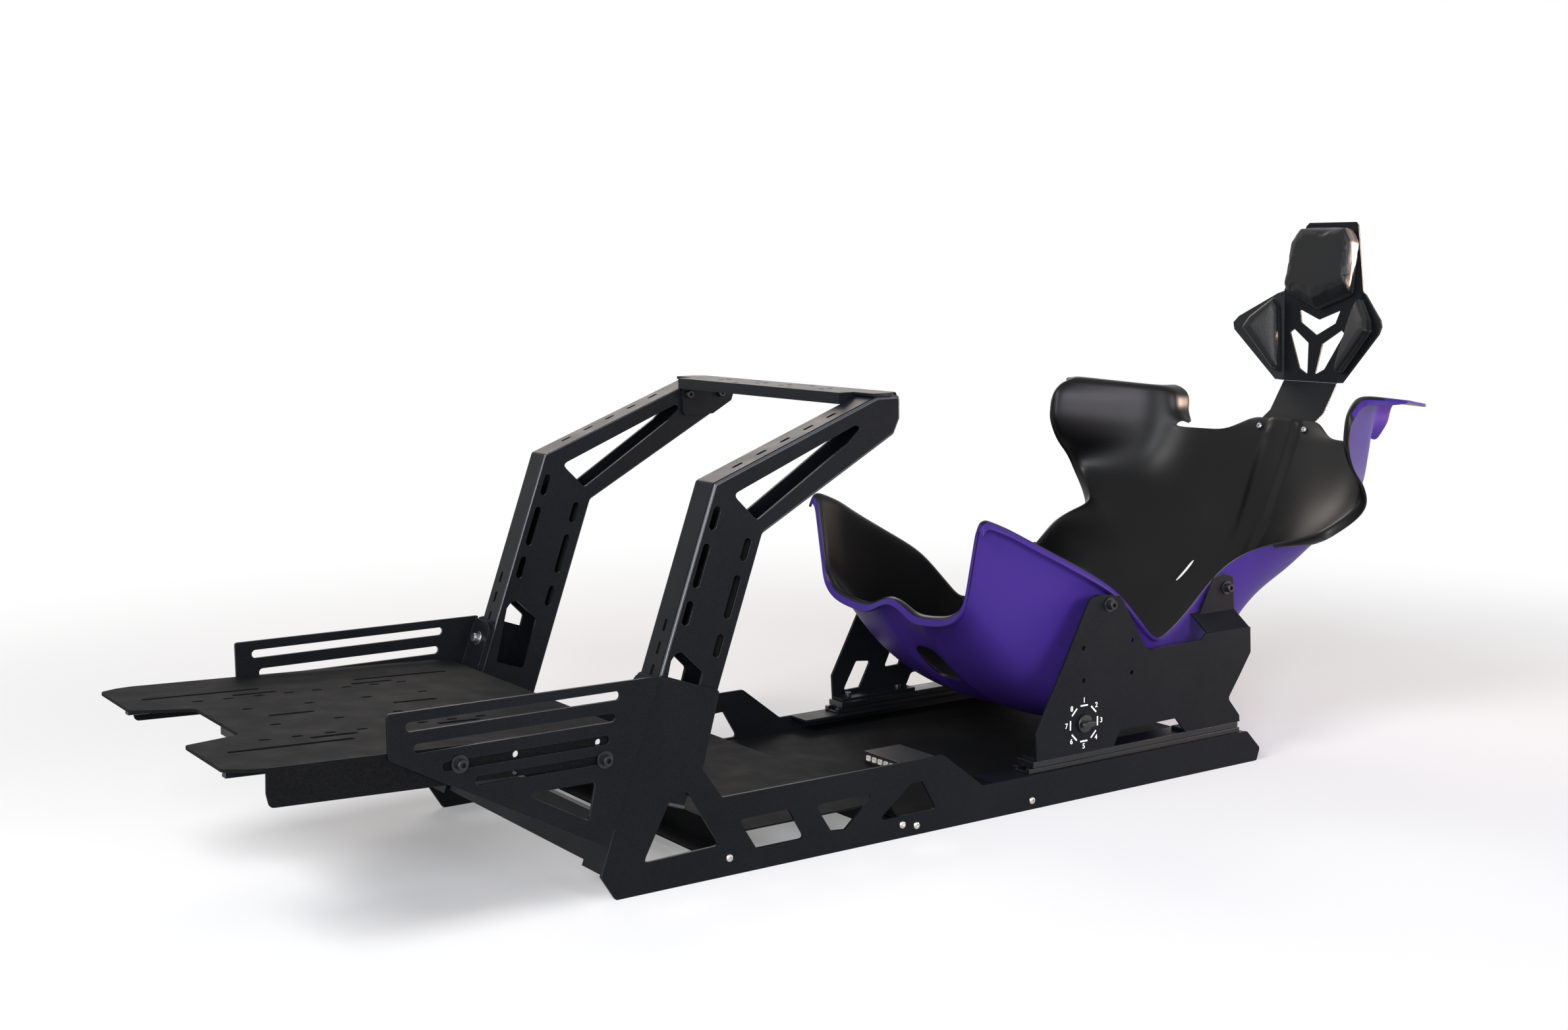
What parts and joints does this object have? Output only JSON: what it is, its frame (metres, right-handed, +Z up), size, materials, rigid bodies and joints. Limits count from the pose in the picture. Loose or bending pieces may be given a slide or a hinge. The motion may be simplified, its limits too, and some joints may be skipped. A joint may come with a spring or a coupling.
{
  "type": "sim racing cockpit",
  "caption": "Low sim racing cockpit: folded steel chassis with a pedal tray and leaning wheel uprights, and a moulded bucket seat with a headrest on a slide.",
  "frame": {"origin": "middle of the bounding box on the plane of the chassis underside", "axes": "+X from the pedals to the headrest, +Y to the driver's right, +Z up"},
  "size_m": [2.0344, 0.755, 0.823],
  "materials": {
    "coated_steel": "fine-texture black powder coat",
    "coated_floor": "black powder coat on sheet steel, slightly greyer where it faces up",
    "rail_steel": "semi-gloss black enamel on pressed steel",
    "black_oxide": "black oxide on alloy steel",
    "shell_gelcoat": "satin purple outside and satin black inside, moulded glass-fibre",
    "pad_leather": "matt black grained leatherette over foam",
    "knob_plastic": "satin black moulded plastic",
    "box_plastic": "matt black moulded plastic"
  },
  "bodies": {
    "chassis": {"side_plate_left": "coated_steel", "side_plate_right": "coated_steel", "front_crossmember": "coated_steel", "floor_panel_front": "coated_floor", "mid_crossmember": "coated_steel", "floor_pan_rear": "coated_floor", "rear_crossmember": "coated_steel", "control_box": "box_plastic", "upright_channel_left": "coated_steel", "upright_channel_right": "coated_steel", "upright_cover_left": "coated_steel", "upright_cover_right": "coated_steel", "wheel_deck": "coated_steel", "tray_bracket_left": "coated_steel", "tray_bracket_right": "coated_steel", "pedal_tray": "coated_floor", "tray_ribs": "coated_steel", "tray_bolts": "black_oxide", "slide_rail_left": "rail_steel", "slide_rail_right": "rail_steel"},
    "seat": {"slide_carriage_left": "rail_steel", "slide_carriage_right": "rail_steel", "seat_bracket_left": "coated_steel", "seat_bracket_right": "coated_steel", "seat_spacers": "black_oxide", "seat_shell": "shell_gelcoat", "headrest_neck": "coated_steel", "headrest_plate": "coated_steel", "headrest_pad": "pad_leather", "headrest_side_pad_left": "pad_leather", "headrest_side_pad_right": "pad_leather"},
    "dial": {"dial_knob": "knob_plastic"}
  },
  "joints": [
    {"name": "seat_slide", "type": "slide", "parent": "chassis", "child": "seat", "axis": [1, 0, 0], "range_m": [-0.1, 0.06]},
    {"name": "dial_turn", "type": "hinge", "parent": "seat", "child": "dial", "pos_m": [0.22061, -0.247, 0.109], "axis": [0, -1, 0], "range_deg": [0, 315]}
  ]
}
